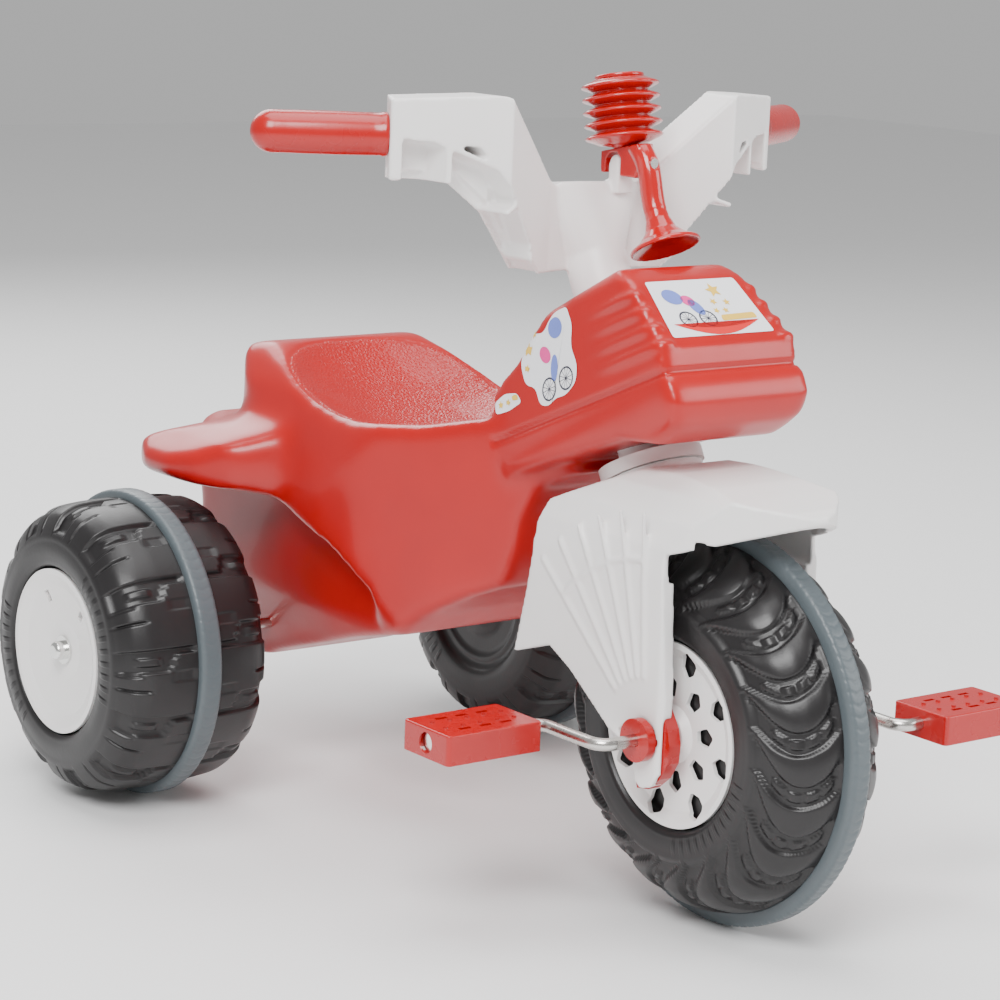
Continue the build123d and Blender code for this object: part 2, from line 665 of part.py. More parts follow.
arm_form = prism(Plane.XZ, mirrored_outline(BAR_FACE), LENGTH) & bar_band(HANDLE_DEPTH)
pocket_right = prism(Plane.XZ, BAR_POCKET, LENGTH)
pocket = (pocket_right + pocket_right.mirror(Plane.YZ)) & bar_band(HANDLE_DEPTH - 2 * BAR_WALL)
cut_right = prism(Plane.XZ, FLANGE_CUT, LENGTH)
flange_band = bar_band(HANDLE_DEPTH - 2 * BAR_WALL).translate((0, -2 * BAR_WALL, 0))
front_cut = (cut_right + cut_right.mirror(Plane.YZ)) & flange_band
pocket = pocket + front_cut - arm_ribs()

with BuildPart() as handlebar:
    add(arm_form)
    add(pocket, mode=Mode.SUBTRACT)
    for side in (-1, 1):
        root = Vector(side * grip_root.X, grip_root.Y, grip_root.Z)
        along = Vector(side * sweep_dir.X, sweep_dir.Y, 0)
        with BuildSketch(Plane(origin=root, z_dir=along)):
            Rectangle(3 * HANDLE_DEPTH, 3 * HANDLE_DEPTH)
        extrude(amount=LENGTH / 8, mode=Mode.SUBTRACT)
        with BuildSketch(Plane(origin=root, z_dir=along)):
            Circle(HANDLE_CORE_R)
        extrude(amount=GRIP_LENGTH)
    with BuildSketch(steer_plane.offset(CUP_LOW)):
        Circle(POST_R)
    with BuildSketch(steer_plane.offset(POST_TOP)):
        RectangleRounded(83, 46, 12)
    loft()
    add(steer_cylinder(POST_R, POST_LOW, CUP_LOW))
    with BuildSketch(steer_plane.offset(CUP_FLOOR)):
        Circle(POST_R - BAR_WALL)
    with BuildSketch(steer_plane.offset(POST_TOP)):
        RectangleRounded(83 - 2 * BAR_WALL, 46 - 2 * BAR_WALL, 12 - BAR_WALL)
    loft(mode=Mode.SUBTRACT)
    add(prism(horn_plane, HORN_TAB, TAB_WIDTH / 2))
    add(steer_cylinder(STEERER_R + FIT, POST_LOW, SOCKET_TOP), mode=Mode.SUBTRACT)
    add(steer_cylinder(BOLT_R + FIT, POST_LOW, POST_TOP), mode=Mode.SUBTRACT)
    add(horn_bolt(SCREW_R + FIT, SCREW_LENGTH), mode=Mode.SUBTRACT)
write(handlebar, "handlebar")

# ---- stem bolt and nut --------------------------------------------------------------------------
BOLT_HEAD_R = 7.5
BOLT_HEAD = 5.3
NUT_HIGH = 6.5
NUT_ACROSS_R = 7.5
bolt_low = CROWN_LOW - NUT_HIGH - 1

with BuildPart() as stem_bolt:
    add(steer_cylinder(BOLT_R, bolt_low, CUP_FLOOR + BOLT_HEAD))
    with BuildSketch(steer_plane.offset(CUP_FLOOR)):
        RegularPolygon(BOLT_HEAD_R, 6)
    extrude(amount=BOLT_HEAD)
write(stem_bolt, "stem_bolt")

with BuildPart() as stem_nut:
    with BuildSketch(steer_plane.offset(CROWN_LOW - NUT_HIGH)):
        RegularPolygon(NUT_ACROSS_R, 6)
        Circle(BOLT_R, mode=Mode.SUBTRACT)
    extrude(amount=NUT_HIGH)
write(stem_nut, "stem_nut")

# ---- grips --------------------------------------------------------------------------------------
with BuildPart() as grip:
    right_root = Plane(
        origin=(-grip_root.X, grip_root.Y, grip_root.Z), z_dir=(-sweep_dir.X, sweep_dir.Y, 0)
    )
    with BuildSketch(right_root):
        Circle(GRIP_R)
    extrude(amount=GRIP_LENGTH)
    with Locations((-grip_tip.X, grip_tip.Y, grip_tip.Z)):
        Sphere(GRIP_R)
    with BuildSketch(right_root):
        Circle(HANDLE_CORE_R)
    extrude(amount=GRIP_LENGTH, mode=Mode.SUBTRACT)
write_pair(grip, "grip")

# ---- squeeze horn -------------------------------------------------------------------------------
BELLOWS_BASE = Vector(HORN_X, -64.0, 505.0)
bellows_dir = Vector(0, sin(radians(HORN_TILT)), cos(radians(HORN_TILT)))
bellows_side = Plane(origin=BELLOWS_BASE, x_dir=(1, 0, 0), z_dir=bellows_dir.cross(Vector(1, 0, 0)) * -1)
bellows_axis = Axis(BELLOWS_BASE, bellows_dir)
BELLOWS_NECK_R = 8.0
BELLOWS_SKIN = 1.2
BELLOWS_LOW = 3.0
bellows_top = BELLOWS_LOW + BELLOWS_TURNS * BELLOWS_PITCH
CAP_TOP_R = 17.0
CAP_THICK = 3.0


def bellows_outline(skin):
    """Half section of the bellows, from its neck up through its folds, drawn in by the skin."""
    points = [(0, skin), (BELLOWS_NECK_R - skin, skin), (BELLOWS_INNER_R - skin, BELLOWS_LOW + skin / 2)]
    for turn in range(BELLOWS_TURNS):
        low = BELLOWS_LOW + turn * BELLOWS_PITCH
        points.append((BELLOWS_OUTER_R - 1.6 * skin, low + BELLOWS_PITCH / 2))
        points.append((BELLOWS_INNER_R - skin, low + BELLOWS_PITCH))
    points[-1] = (BELLOWS_INNER_R - skin, bellows_top - skin)
    points.append((0, bellows_top - skin))
    return points


with BuildPart() as horn_bellows:
    with BuildSketch(bellows_side):
        with BuildLine():
            Polyline(*bellows_outline(0), close=True)
        make_face()
    revolve(axis=bellows_axis)
    with BuildSketch(bellows_side):
        with BuildLine():
            Polyline(*bellows_outline(BELLOWS_SKIN), close=True)
        make_face()
    revolve(axis=bellows_axis, mode=Mode.SUBTRACT)
    with BuildSketch(Plane(origin=BELLOWS_BASE, z_dir=bellows_dir)):
        Circle(4.5)
    extrude(amount=BELLOWS_LOW, mode=Mode.SUBTRACT)
write(horn_bellows, "horn_bellows")

with BuildPart() as bellows_cap:
    with BuildSketch(Plane(origin=BELLOWS_BASE + bellows_dir * bellows_top, z_dir=bellows_dir)):
        Circle(CAP_TOP_R)
    extrude(amount=CAP_THICK)
    fillet(bellows_cap.faces().sort_by(Axis.Z)[-1].edges(), 1)
write(bellows_cap, "bellows_cap")

NECK_R = 8.0
NECK_TOP = Vector(HORN_X, -78.0, 507.0)
NECK_SADDLE = [
    (-51, 487), (-52, 497), (-56, 501), (-63, 502), (-67.5, 498.5), (-67.5, 486), (-84, 486), (-88, 500),
    (-84, 512), (-46, 510), (-47, 487),
]
NECK_BORE_R = 4.5
AIR_HOLE_R = 1.5
THROAT = Vector(HORN_X, -99.0, 465.0)
BELL_DROP = 62.0
BELL_PROFILE = [(7.5, -2), (8.4, 6), (11, 14), (16.5, 20), (24, 24.5), (24.6, 26.6), (23.4, 27.6)]
BELL_INSIDE = [(22.2, 26.2), (14.6, 21.6), (9, 15.5), (6.2, 7), (NECK_BORE_R, -2)]
bell_dir = Vector(0, -cos(radians(BELL_DROP)), -sin(radians(BELL_DROP)))
bell_plane = Plane(origin=THROAT, x_dir=(1, 0, 0), z_dir=Vector(1, 0, 0).cross(bell_dir))

with BuildPart() as horn_trumpet:
    with BuildLine() as neck_path:
        Spline(
            NECK_TOP, (HORN_X, -88, 496), (HORN_X, -93, 482), THROAT, tangents=[(0, -0.75, -0.66), bell_dir]
        )
    with BuildSketch(Plane(origin=neck_path.line @ 0, z_dir=neck_path.line % 0)):
        Circle(NECK_R)
    sweep(path=neck_path.line)
    add(prism(horn_plane, NECK_SADDLE, TAB_WIDTH / 2))
    with BuildSketch(Plane(origin=BELLOWS_BASE, z_dir=bellows_dir)):
        Circle(2 * BELLOWS_OUTER_R)
    extrude(amount=BELLOWS_OUTER_R, mode=Mode.SUBTRACT)
    with BuildSketch(bell_plane):
        with BuildLine():
            Polyline((0, -2), *BELL_PROFILE, (0, 27.6), close=True)
        make_face()
    revolve(axis=Axis(THROAT, bell_dir))
    with BuildSketch(bell_plane):
        with BuildLine():
            Polyline((0, 27.6), *[BELL_PROFILE[-1]], *BELL_INSIDE, (0, -2), close=True)
        make_face()
    revolve(axis=Axis(THROAT, bell_dir), mode=Mode.SUBTRACT)
    with BuildSketch(Plane(origin=neck_path.line @ 0, z_dir=neck_path.line % 0)):
        Circle(NECK_BORE_R)
    sweep(path=neck_path.line, mode=Mode.SUBTRACT)
    with BuildSketch(Plane(origin=BELLOWS_BASE - (0, 0, 1), z_dir=(0, -0.9, -0.43))):
        Circle(AIR_HOLE_R)
    extrude(amount=18, mode=Mode.SUBTRACT)
    add(horn_bolt(SCREW_R + FIT, SCREW_LENGTH), mode=Mode.SUBTRACT)
    with BuildSketch(Plane(origin=(HORN_X, SCREW_FACE_Y, SCREW_Z), z_dir=(0, -1, 0))):
        Circle(SCREW_HEAD_R + GAP)
    extrude(amount=2 * NECK_R, mode=Mode.SUBTRACT)
write(horn_trumpet, "horn_trumpet")

with BuildPart() as horn_screw:
    add(horn_bolt(SCREW_R, SCREW_LENGTH - GAP))
    with BuildSketch(Plane(origin=(HORN_X, SCREW_FACE_Y, SCREW_Z), z_dir=(0, -1, 0))):
        Circle(SCREW_HEAD_R)
    extrude(amount=SCREW_HEAD)
write(horn_screw, "horn_screw")

with BuildPart() as horn_reed:
    with BuildSketch(Plane(origin=BELLOWS_BASE, z_dir=bellows_dir)):
        Circle(4.4)
        Circle(2.2, mode=Mode.SUBTRACT)
    extrude(amount=6)
write(horn_reed, "horn_reed")
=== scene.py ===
import json
import math

import bmesh
import bpy
import numpy as np
from mathutils import Matrix, Vector
from mathutils.bvhtree import BVHTree


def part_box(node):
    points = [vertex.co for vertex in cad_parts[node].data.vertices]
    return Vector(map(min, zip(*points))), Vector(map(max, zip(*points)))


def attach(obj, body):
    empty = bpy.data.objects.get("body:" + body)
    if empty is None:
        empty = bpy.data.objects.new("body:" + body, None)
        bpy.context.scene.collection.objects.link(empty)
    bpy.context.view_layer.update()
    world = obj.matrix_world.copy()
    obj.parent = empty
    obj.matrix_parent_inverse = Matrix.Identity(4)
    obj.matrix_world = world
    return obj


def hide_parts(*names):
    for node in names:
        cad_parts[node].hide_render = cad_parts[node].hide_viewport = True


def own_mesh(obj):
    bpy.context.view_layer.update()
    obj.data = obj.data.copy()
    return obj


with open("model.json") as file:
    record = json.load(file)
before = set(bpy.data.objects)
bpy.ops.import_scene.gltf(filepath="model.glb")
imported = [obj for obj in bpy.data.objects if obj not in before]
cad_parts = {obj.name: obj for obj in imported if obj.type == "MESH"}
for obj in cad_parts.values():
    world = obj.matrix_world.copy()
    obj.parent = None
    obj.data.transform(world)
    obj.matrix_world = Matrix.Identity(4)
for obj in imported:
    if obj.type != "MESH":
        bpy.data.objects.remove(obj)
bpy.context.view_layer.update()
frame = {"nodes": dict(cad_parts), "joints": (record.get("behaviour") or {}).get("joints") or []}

# Children's tricycle. Metres, +Z up, rider facing -Y, rider's left +X, as in the CAD frame.
MM = 0.001

# ---- places read from the frame -----------------------------------------------------------------
steer_joint = next(j for j in frame["joints"] if j["name"] == "steer")
horn_joint = next(j for j in frame["joints"] if j["name"] == "horn_squeeze")
FRONT_AXLE = Vector(steer_joint["pos_m"])
STEER_AXIS = Vector(steer_joint["axis"])
STEER_BACK = Vector((1, 0, 0)).cross(STEER_AXIS) * -1
HORN_AXIS = -Vector(horn_joint["axis"])


def box_centre(node):
    low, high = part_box(node)
    return (low + high) / 2


REAR_HUB = {hand: box_centre(f"rear_band_{hand}") for hand in ("right", "left")}


# ---- mesh helpers -------------------------------------------------------------------------------
def smooth_step(value, low, high):
    t = np.clip((value - low) / (high - low), 0.0, 1.0)
    return t * t * (3.0 - 2.0 * t)


def make_object(name, mesh):
    obj = bpy.data.objects.new(name, mesh)
    bpy.context.scene.collection.objects.link(obj)
    return obj


def mesh_object(name, points, faces):
    mesh = bpy.data.meshes.new(name)
    mesh.from_pydata([tuple(p) for p in points], [], faces)
    mesh.validate()
    mesh.polygons.foreach_set("use_smooth", np.ones(len(mesh.polygons), bool))
    mesh.update()
    return make_object(name, mesh)


def points_of(obj):
    flat = np.empty(len(obj.data.vertices) * 3)
    obj.data.vertices.foreach_get("co", flat)
    return flat.reshape(-1, 3)


def normals_of(obj):
    flat = np.empty(len(obj.data.vertices) * 3)
    obj.data.vertices.foreach_get("normal", flat)
    return flat.reshape(-1, 3)


def set_points(obj, points):
    obj.data.vertices.foreach_set("co", points.astype(np.float32).ravel())
    obj.data.update()


def islands(bm):
    """The separate closed skins of a mesh, each as a list of its vertices."""
    seen = set()
    groups = []
    for start in bm.verts:
        if start in seen:
            continue
        seen.add(start)
        stack = [start]
        group = []
        while stack:
            vert = stack.pop()
            group.append(vert)
            for edge in vert.link_edges:
                other = edge.other_vert(vert)
                if other not in seen:
                    seen.add(other)
                    stack.append(other)
        groups.append(group)
    return groups


def skin_copy(node, name, plug=None):
    """The outer skin of a CAD node as a new object. plug is (point, axis, radius) of a bore to close."""
    bm = bmesh.new()
    bm.from_mesh(frame["nodes"][node].data)
    bmesh.ops.remove_doubles(bm, verts=bm.verts, dist=1e-6)
    groups = sorted(islands(bm), key=lambda g: -(max(v.co.z for v in g) - min(v.co.z for v in g)))
    bmesh.ops.delete(bm, geom=[v for g in groups[1:] for v in g], context="VERTS")
    if plug:
        point, axis, radius = plug
        wall = []
        for face in bm.faces:
            gaps = [(v.co - point) - axis * (v.co - point).dot(axis) for v in face.verts]
            if max(g.length for g in gaps) < radius:
                wall.append(face)
        bmesh.ops.delete(bm, geom=wall, context="FACES")
        rims = [e for e in bm.edges if e.is_boundary]
        bmesh.ops.holes_fill(bm, edges=rims, sides=0)
    mesh = bpy.data.meshes.new(name)
    bm.to_mesh(mesh)
    bm.free()
    return make_object(name, mesh)


def voxel_skin(obj, size):
    """Rebuild the object's mesh as an even grid of small faces of the given size."""
    modifier = obj.modifiers.new("skin", "REMESH")
    modifier.mode = "VOXEL"
    modifier.voxel_size = size
    modifier.use_smooth_shade = True
    depsgraph = bpy.context.evaluated_depsgraph_get()
    mesh = bpy.data.meshes.new_from_object(obj.evaluated_get(depsgraph))
    obj.modifiers.clear()
    obj.data = mesh
    mesh.polygons.foreach_set("use_smooth", np.ones(len(mesh.polygons), bool))


def relax(obj, rounds, weight, keep_volume=False):
    """Even out the mesh: each round moves a vertex towards the mean of its neighbours."""
    points = points_of(obj)
    count = len(points)
    ends = np.empty(len(obj.data.edges) * 2, np.int64)
    obj.data.edges.foreach_get("vertices", ends)
    one, two = ends[0::2], ends[1::2]
    degree = np.bincount(one, minlength=count) + np.bincount(two, minlength=count)
    for _ in range(rounds):
        for factor in ((1.0, -1.05) if keep_volume else (1.0,)):
            total = np.empty_like(points)
            for k in range(3):
                total[:, k] = np.bincount(one, weights=points[two, k], minlength=count)
                total[:, k] += np.bincount(two, weights=points[one, k], minlength=count)
            mean = total / degree[:, None]
            points += np.reshape(weight * factor, (-1, 1)) * (mean - points)
    set_points(obj, points)


def spread(obj, values, rounds):
    """Blur one number per vertex over the mesh."""
    count = len(values)
    ends = np.empty(len(obj.data.edges) * 2, np.int64)
    obj.data.edges.foreach_get("vertices", ends)
    one, two = ends[0::2], ends[1::2]
    degree = np.bincount(one, minlength=count) + np.bincount(two, minlength=count)
    for _ in range(rounds):
        total = np.bincount(one, weights=values[two], minlength=count)
        total += np.bincount(two, weights=values[one], minlength=count)
        values = (values + total / degree) / 2
    return values


def resample(outline, count, rounding):
    """Points evenly spaced along an outline, its corners rounded by repeated averaging."""
    outline = np.array(outline, float)
    steps = np.r_[0, np.cumsum(np.hypot(*np.diff(outline, axis=0).T))]
    at = np.linspace(0, steps[-1], count)
    line = np.stack([np.interp(at, steps, outline[:, k]) for k in range(2)], 1)
    for _ in range(rounding):
        line[1:-1] = (line[:-2] + 2 * line[1:-1] + line[2:]) / 4
    return line


def turned(name, outline, centre, axis, steps=96):
    """A closed surface of revolution: outline is (radius, height) from the axis and back to it."""
    axis = Vector(axis).normalized()
    side = axis.orthogonal().normalized()
    other = axis.cross(side)
    points = []
    for radius, height in outline:
        for k in range(steps):
            turn = 2 * math.pi * k / steps
            around = side * math.cos(turn) + other * math.sin(turn)
            points.append(Vector(centre) + axis * (height * MM) + around * (radius * MM))
    rows = len(outline)
    faces = []
    for row in range(rows - 1):
        for k in range(steps):
            after = (k + 1) % steps
            here, above = row * steps, (row + 1) * steps
            faces.append((here + k, here + after, above + after, above + k))
    faces.append(tuple(reversed(range(steps))))
    faces.append(tuple((rows - 1) * steps + k for k in range(steps)))
    return mesh_object(name, points, faces)


# ---- materials ----------------------------------------------------------------------------------
CLOUD_SCALE = 22.0
SMUDGE_SCALE = 60.0
GRAIN_SCALE = 330.0
FINE_DEPTH = 0.4 * MM
GRAIN_DEPTH = 1.2 * MM


def finish(name, colour, roughness, mottle=0.06, relief=0.1, relief_scale=700.0, metallic=0.0,
           coat=0.0, grain=False, stretch=(1, 1, 1), soften=0.0):
    """A procedural finish: cloudy colour, uneven gloss and a fine moulded or worn surface relief."""
    material = bpy.data.materials.new(name)
    material.use_nodes = True
    nodes = material.node_tree.nodes
    links = material.node_tree.links
    shader = nodes["Principled BSDF"]
    shader.inputs["Metallic"].default_value = metallic
    shader.inputs["Coat Weight"].default_value = coat
    shader.inputs["Coat Roughness"].default_value = 0.08
    shader.inputs["Subsurface Weight"].default_value = soften
    shader.inputs["Subsurface Radius"].default_value = (0.004, 0.003, 0.003)

    place = nodes.new("ShaderNodeTexCoord")
    scaled = nodes.new("ShaderNodeMapping")
    scaled.inputs["Scale"].default_value = stretch
    links.new(place.outputs["Object"], scaled.inputs["Vector"])

    cloud = nodes.new("ShaderNodeTexNoise")
    cloud.inputs["Scale"].default_value = CLOUD_SCALE
    cloud.inputs["Detail"].default_value = 4.0
    links.new(scaled.outputs["Vector"], cloud.inputs["Vector"])
    blend = nodes.new("ShaderNodeMix")
    blend.data_type = "RGBA"
    blend.inputs[6].default_value = (*[c * (1 - mottle) for c in colour], 1)
    blend.inputs[7].default_value = (*[min(1.0, c * (1 + mottle)) for c in colour], 1)
    links.new(cloud.outputs["Fac"], blend.inputs["Factor"])
    links.new(blend.outputs[2], shader.inputs["Base Color"])

    smudge = nodes.new("ShaderNodeTexNoise")
    smudge.inputs["Scale"].default_value = SMUDGE_SCALE
    smudge.inputs["Detail"].default_value = 6.0
    links.new(scaled.outputs["Vector"], smudge.inputs["Vector"])
    gloss = nodes.new("ShaderNodeMapRange")
    gloss.inputs["To Min"].default_value = roughness - 0.05
    gloss.inputs["To Max"].default_value = roughness + 0.08
    links.new(smudge.outputs["Fac"], gloss.inputs["Value"])
    links.new(gloss.outputs["Result"], shader.inputs["Roughness"])

    fine = nodes.new("ShaderNodeTexNoise")
    fine.inputs["Scale"].default_value = relief_scale
    fine.inputs["Detail"].default_value = 3.0
    links.new(scaled.outputs["Vector"], fine.inputs["Vector"])
    bump = nodes.new("ShaderNodeBump")
    bump.inputs["Strength"].default_value = relief
    bump.inputs["Distance"].default_value = FINE_DEPTH
    links.new(fine.outputs["Fac"], bump.inputs["Height"])
    last = bump
    if grain:
        last = add_grain(nodes, links, place, bump)
    links.new(last.outputs["Normal"], shader.inputs["Normal"])
    return material


def add_grain(nodes, links, place, before):
    """Leather-like cells where the mesh's grain attribute says so."""
    cells = nodes.new("ShaderNodeTexVoronoi")
    cells.feature = "DISTANCE_TO_EDGE"
    cells.inputs["Scale"].default_value = GRAIN_SCALE
    links.new(place.outputs["Object"], cells.inputs["Vector"])
    mask = nodes.new("ShaderNodeAttribute")
    mask.attribute_name = "grain"
    height = nodes.new("ShaderNodeMath")
    height.operation = "MULTIPLY"
    links.new(cells.outputs["Distance"], height.inputs[0])
    links.new(mask.outputs["Fac"], height.inputs[1])
    bump = nodes.new("ShaderNodeBump")
    bump.inputs["Strength"].default_value = 0.8
    bump.inputs["Distance"].default_value = GRAIN_DEPTH
    links.new(height.outputs["Value"], bump.inputs["Height"])
    links.new(before.outputs["Normal"], bump.inputs["Normal"])
    return bump


RED = (0.44, 0.0006, 0.0008)
body_red = finish("body_red", RED, 0.30, mottle=0.10, relief=0.10, coat=0.15, grain=True)
part_red = finish("part_red", (0.42, 0.0006, 0.0008), 0.26, mottle=0.08, relief=0.08, coat=0.2)
horn_red = finish("horn_red", (0.46, 0.0008, 0.0014), 0.16, mottle=0.06, relief=0.04, coat=0.5)
white = finish("white_plastic", (0.86, 0.84, 0.83), 0.34, mottle=0.03, relief=0.08, soften=0.12)
black = finish("black_plastic", (0.011, 0.0098, 0.0104), 0.36, mottle=0.25, relief=0.16, relief_scale=420)
grey = finish("grey_band", (0.085, 0.104, 0.114), 0.38, mottle=0.12, relief=0.22, relief_scale=900)
steel = finish("steel_rod", (0.62, 0.60, 0.57), 0.26, mottle=0.12, relief=0.05, metallic=1.0,
               stretch=(0.3, 3, 3))
bright = finish("bright_steel", (0.80, 0.80, 0.78), 0.18, mottle=0.06, relief=0.03, metallic=1.0)
clear = finish("clear_nylon", (0.70, 0.68, 0.62), 0.30, mottle=0.05, relief=0.05, soften=0.3)
vinyl_white = finish("vinyl_white", (0.88, 0.89, 0.92), 0.30, mottle=0.02, relief=0.03)
vinyl_gold = finish("vinyl_gold", (0.85, 0.55, 0.08), 0.30, mottle=0.10, relief=0.03)
vinyl_blue = finish("vinyl_blue", (0.16, 0.22, 0.62), 0.30, mottle=0.12, relief=0.03)
vinyl_pink = finish("vinyl_pink", (0.80, 0.06, 0.30), 0.30, mottle=0.10, relief=0.03)
vinyl_dark = finish("vinyl_dark", (0.03, 0.03, 0.05), 0.30, mottle=0.10, relief=0.03)
vinyl_red = finish("vinyl_red", (0.72, 0.02, 0.02), 0.30, mottle=0.08, relief=0.03)


def wear(obj, material):
    obj.data.materials.clear()
    obj.data.materials.append(material)


def repaint(node, material):
    """Give a carried-over CAD node a procedural finish."""
    obj = frame["nodes"][node]
    for k in range(len(obj.material_slots)):
        obj.material_slots[k].material = material


# ---- body shell ---------------------------------------------------------------------------------
def tank_place(points):
    """Distance behind the steering axis and height along it, in mm, for points in metres."""
    away = points - np.array(FRONT_AXLE)
    return away @ np.array(STEER_BACK) / MM, away @ np.array(STEER_AXIS) / MM


TANK_FRONT_V = -108.0
TANK_REAR_V = 86.0
GROOVE_FRONT_S = 216.0
GROOVE_REAR_S = 232.0
GROOVE_DEPTH = 2.6
GROOVE_WIDTH = 1.9
TANK_FLOOR_S = 186
RIB_PITCH = 13.0
RIB_COUNT = 4
RIB_START = 18
RIB_HEIGHT = 2.3
RIB_WIDTH = 3.6
SEAT_CENTRE = np.array((0, 108, 473)) * MM
SEAT_RADIUS = 195 * MM
BODY_CELL = 2.3 * MM
BODY_RELAX = 0.6
SEAM_DEPTH = 0.9
AXLE_BORE_REACH = 4.4 * MM


def tank_relief(points):
    """Depth in mm of the tank's groove line and the short ribs round its front corners."""
    v, s = tank_place(points)
    x = np.abs(points[:, 0]) / MM
    along = (v - TANK_FRONT_V) / (TANK_REAR_V - TANK_FRONT_V)
    groove_s = GROOVE_FRONT_S + (GROOVE_REAR_S - GROOVE_FRONT_S) * along
    on_tank = (v < TANK_REAR_V + 1) * (s > TANK_FLOOR_S) * smooth_step(x + np.maximum(0, -v - 90) * 4, 34, 46)
    relief = -GROOVE_DEPTH * np.exp(-(((s - groove_s) / GROOVE_WIDTH) ** 2))
    corner = smooth_step(x, 43, 50) * smooth_step(-v, 28, 76)
    for k in range(RIB_COUNT):
        rib_s = groove_s + RIB_START + k * RIB_PITCH
        relief = relief + RIB_HEIGHT * corner * np.exp(-(((s - rib_s) / RIB_WIDTH) ** 2))
    return relief * on_tank


def build_body():
    """The blow-moulded shell: soft edges all over, with ribs, groove, seat seam and seat grain."""
    rear_axle = box_centre("rear_axle")
    shell = skin_copy("body_shell", "body", plug=(rear_axle, Vector((1, 0, 0)), AXLE_BORE_REACH))
    voxel_skin(shell, BODY_CELL)
    points = points_of(shell)
    v, s = tank_place(points)
    from_stem = np.hypot(v, points[:, 0] / MM)
    # Nothing is smoothed close round the stem, and the tank is smoothed less than the rest.
    weight = BODY_RELAX * smooth_step(from_stem, 22, 27)
    tank = smooth_step(s, 200, 215) * (v < 70)
    relax(shell, 12, weight)
    relax(shell, 14, weight * (1 - 0.8 * tank))
    # The flanks run smoothly into the rear wings.
    x, y, z = points_of(shell).T / MM
    x = np.abs(x)
    flank = smooth_step(x, 70, 84) * smooth_step(y, 95, 130) * bank(z, 236, 296, 22)
    flank = flank * (1 - smooth_step(x, 126, 140))
    relax(shell, 60, BODY_RELAX * flank)

    points = points_of(shell)
    from_seat = np.abs(np.linalg.norm(points - SEAT_CENTRE, axis=1) - SEAT_RADIUS) / MM
    dish = spread(shell, (from_seat < 1.3).astype(float), 8)
    grain = smooth_step(dish, 0.75, 0.9)
    seam = -SEAM_DEPTH * np.exp(-(((dish - 0.72) / 0.13) ** 2)) * (from_seat < 8)
    relief = (tank_relief(points) + seam) * MM
    set_points(shell, points + normals_of(shell) * relief[:, None])
    layer = shell.data.attributes.new("grain", "FLOAT", "POINT")
    layer.data.foreach_set("value", grain.astype(np.float32))
    wear(shell, body_red)
    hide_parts("body_shell")
    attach(shell, "frame")
    return shell


# ---- fork, handlebar, horn trumpet --------------------------------------------------------------
MOULDED_RELAX = 0.55


def soft_piece(node, name, voxel, rounds, material, body):
    """A CAD piece rebuilt as an even skin with its corners rounded like a moulding."""
    piece = skin_copy(node, name)
    voxel_skin(piece, voxel * MM)
    relax(piece, rounds, MOULDED_RELAX, keep_volume=True)
    wear(piece, material)
    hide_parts(node)
    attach(piece, body)


# ---- wheels -------------------------------------------------------------------------------------
def tyre_mesh(name, outline, centre, outward, relief, rings, turns):
    """A tyre turned about its axle, with relief(turn, offset, radius) giving its height in mm."""
    line = resample(outline, rings, 2)
    tangent = np.gradient(line, axis=0)
    tangent /= np.linalg.norm(tangent, axis=1)[:, None]
    normal = np.stack([-tangent[:, 1], tangent[:, 0]], 1)
    middle = line[rings // 2]
    if normal[rings // 2] @ np.array((0, 1)) < 0 and middle[1] > 60:
        normal = -normal
    turn = np.linspace(0, 2 * np.pi, turns, endpoint=False)
    angle, row = np.meshgrid(turn, np.arange(rings), indexing="ij")
    offset = line[row, 0]
    radius = line[row, 1]
    height = relief(angle, offset, radius)
    offset = offset + normal[row, 0] * height
    radius = radius + normal[row, 1] * height
    points = np.stack([
        centre.x + outward * offset * MM,
        centre.y + radius * np.cos(angle) * MM,
        centre.z + radius * np.sin(angle) * MM,
    ], -1).reshape(-1, 3)
    faces = []
    for t in range(turns):
        after = (t + 1) % turns
        for r in range(rings):
            up = (r + 1) % rings
            faces.append((t * rings + r, t * rings + up, after * rings + up, after * rings + r))
    obj = mesh_object(name, points, faces)
    bm = bmesh.new()
    bm.from_mesh(obj.data)
    bmesh.ops.recalc_face_normals(bm, faces=bm.faces)
    bm.to_mesh(obj.data)
    bm.free()
    return obj


def bank(value, low, high, edge):
    """One between low and high, falling to zero over the edge width on both sides."""
    rise = smooth_step(value, low - edge / 2, low + edge / 2)
    return rise * (1 - smooth_step(value, high - edge / 2, high + edge / 2))


FRONT_PADS = 20
FRONT_HALF = [(8, 125.3), (17, 124), (29, 118), (39, 109), (46, 98), (49, 88), (50, 76), (48.5, 66.5),
              (44, 63.2), (38, 63), (38, 4.3)]
FRONT_OUTLINE = [(-a, b) for a, b in reversed(FRONT_HALF)] + FRONT_HALF
TREAD_IN = 9.0
SHOULDER_R = 109.0
PAD_MIDDLE = 0.66
TREAD_DEPTH = 4.0
PAD_HEIGHT = 2.8
PAD_CROWN = 1.2
BLOCK_HEIGHT = 1.9


def front_reach(x, radius):
    """Share of the way along the tyre's outside, from the band to the widest point."""
    crown = np.interp(x, [8, 17, 29, 39], [0, 0.127, 0.315, 0.503])
    wall = np.interp(-radius, [-109, -98, -88, -76], [0.503, 0.686, 0.831, 1.0])
    return np.where(radius > SHOULDER_R, crown, wall)


